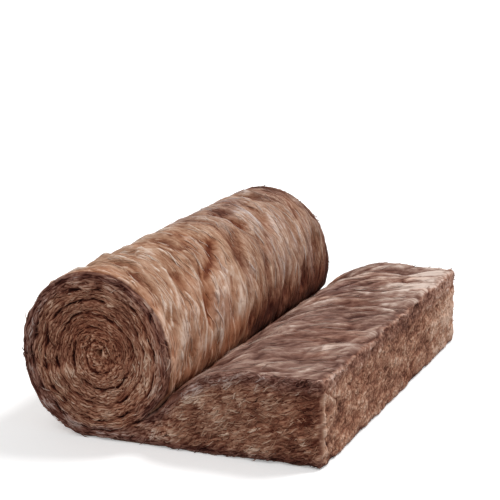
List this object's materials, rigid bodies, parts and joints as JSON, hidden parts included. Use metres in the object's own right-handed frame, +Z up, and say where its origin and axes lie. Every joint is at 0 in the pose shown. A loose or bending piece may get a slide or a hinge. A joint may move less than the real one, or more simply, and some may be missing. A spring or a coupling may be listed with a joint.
{
  "type": "mineral wool insulation roll",
  "caption": "Brown glass wool insulation blanket, wound into a roll and partly rolled out, its free end swollen to full thickness.",
  "frame": {"origin": "on the floor, under the middle of the object's box", "axes": "+Y along the roll's axis and the blanket's width, +X along the free end that is rolled out, +Z up"},
  "size_m": [0.8619, 1.2, 0.4608],
  "materials": {
    "glass_wool": "matt brown fibre"
  },
  "bodies": {
    "root": {"wool_blanket": "glass_wool"}
  },
  "joints": []
}
